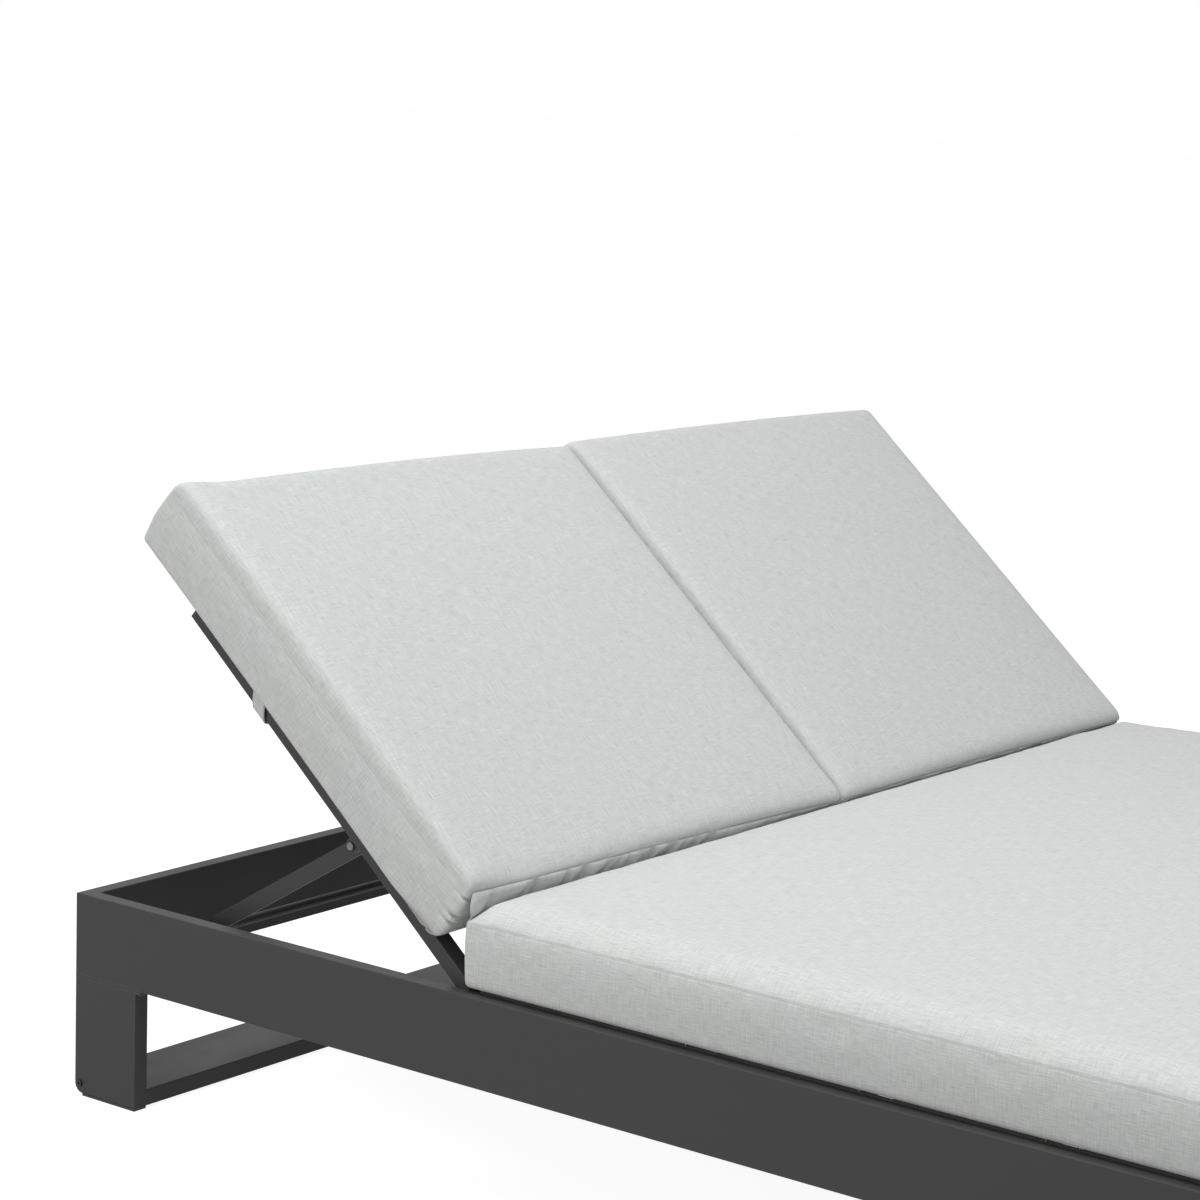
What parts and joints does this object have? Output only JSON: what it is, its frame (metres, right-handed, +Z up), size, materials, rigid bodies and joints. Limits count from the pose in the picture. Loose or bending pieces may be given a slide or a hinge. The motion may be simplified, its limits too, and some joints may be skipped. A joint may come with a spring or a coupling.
{
  "type": "double chaise lounger",
  "caption": "Low outdoor lounger for two on a box-tube frame with sled legs, boxed cushions and two separately reclining backs on notched stays.",
  "frame": {"origin": "centre of the footprint on the ground", "axes": "+X from the head to the foot, +Y across to the far user's side, +Z up"},
  "size_m": [2, 1.6048, 0.844],
  "materials": {
    "charcoal_coat": "fine matt charcoal powder coat on aluminium tube",
    "cushion_fabric": "light grey melange woven outdoor fabric",
    "strap_webbing": "light grey woven strap",
    "black_plastic": "black moulded nylon",
    "steel_bolt": "stainless bolt",
    "dark_screw": "blackened screw"
  },
  "bodies": {
    "base": {"centre_beam": "charcoal_coat", "centre_ledges": "charcoal_coat", "cross_beam_far": "charcoal_coat", "cross_beam_near": "charcoal_coat", "floor_bar_foot": "charcoal_coat", "floor_bar_head": "charcoal_coat", "foot_rail": "charcoal_coat", "head_rail": "charcoal_coat", "hinge_bolts": "steel_bolt", "hinge_bushes": "black_plastic", "hinge_flap_far": "cushion_fabric", "hinge_flap_near": "cushion_fabric", "leg_glide_foot_far": "black_plastic", "leg_glide_foot_near": "black_plastic", "leg_glide_head_far": "black_plastic", "leg_glide_head_near": "black_plastic", "leg_post_foot_far": "charcoal_coat", "leg_post_foot_near": "charcoal_coat", "leg_post_head_far": "charcoal_coat", "leg_post_head_near": "charcoal_coat", "leg_screws": "dark_screw", "rack_far_inner": "charcoal_coat", "rack_far_outer": "charcoal_coat", "rack_near_inner": "charcoal_coat", "rack_near_outer": "charcoal_coat", "seat_cushion": "cushion_fabric", "seat_slats_far": "charcoal_coat", "seat_slats_near": "charcoal_coat", "seat_straps": "strap_webbing", "side_ledge_far": "charcoal_coat", "side_ledge_near": "charcoal_coat", "side_rail_far": "charcoal_coat", "side_rail_near": "charcoal_coat"},
    "backrest_near": {"back_lower_tube_near": "charcoal_coat", "back_plugs_near": "black_plastic", "back_slats_near": "charcoal_coat", "back_strap_near": "strap_webbing", "back_top_tube_near": "charcoal_coat", "back_tube_near_inner": "charcoal_coat", "back_tube_near_outer": "charcoal_coat", "strut_bolts_near": "steel_bolt", "strut_lugs_near": "charcoal_coat"},
    "stay_near": {"stay_rod_near": "charcoal_coat", "strut_near_inner": "charcoal_coat", "strut_near_outer": "charcoal_coat"},
    "back_pad_near": {"back_cushion_near": "cushion_fabric"},
    "backrest_far": {"back_lower_tube_far": "charcoal_coat", "back_plugs_far": "black_plastic", "back_slats_far": "charcoal_coat", "back_strap_far": "strap_webbing", "back_top_tube_far": "charcoal_coat", "back_tube_far_inner": "charcoal_coat", "back_tube_far_outer": "charcoal_coat", "strut_bolts_far": "steel_bolt", "strut_lugs_far": "charcoal_coat"},
    "stay_far": {"stay_rod_far": "charcoal_coat", "strut_far_inner": "charcoal_coat", "strut_far_outer": "charcoal_coat"},
    "back_pad_far": {"back_cushion_far": "cushion_fabric"}
  },
  "joints": [
    {"name": "back_hinge_near", "type": "hinge", "parent": "base", "child": "backrest_near", "pos_m": [-0.337, -0.3925, 0.2755], "axis": [0, 1, 0], "range_deg": [-40.8, 14.2]},
    {"name": "stay_hinge_near", "type": "hinge", "parent": "backrest_near", "child": "stay_near", "pos_m": [-0.53761, -0.3925, 0.4237], "axis": [0, 1, 0], "range_deg": [-25.13, 71.26]},
    {"name": "pad_slide_near", "type": "slide", "parent": "backrest_near", "child": "back_pad_near", "axis": [-0.757, 0, 0.6534], "range_m": [-0.081, 0.02884]},
    {"name": "back_hinge_far", "type": "hinge", "parent": "base", "child": "backrest_far", "pos_m": [-0.337, 0.3925, 0.2755], "axis": [0, 1, 0], "range_deg": [-40.8, 14.2]},
    {"name": "stay_hinge_far", "type": "hinge", "parent": "backrest_far", "child": "stay_far", "pos_m": [-0.53761, 0.3925, 0.4237], "axis": [0, 1, 0], "range_deg": [-25.13, 71.26]},
    {"name": "pad_slide_far", "type": "slide", "parent": "backrest_far", "child": "back_pad_far", "axis": [-0.757, 0, 0.6534], "range_m": [-0.081, 0.02884]}
  ],
  "couplings": [
    {"joint": "stay_hinge_near", "follows": "back_hinge_near", "ratio": -1.7343},
    {"joint": "pad_slide_near", "follows": "back_hinge_near", "m_per_rad": 0.11235},
    {"joint": "stay_hinge_far", "follows": "back_hinge_far", "ratio": -1.7343},
    {"joint": "pad_slide_far", "follows": "back_hinge_far", "m_per_rad": 0.11235}
  ]
}
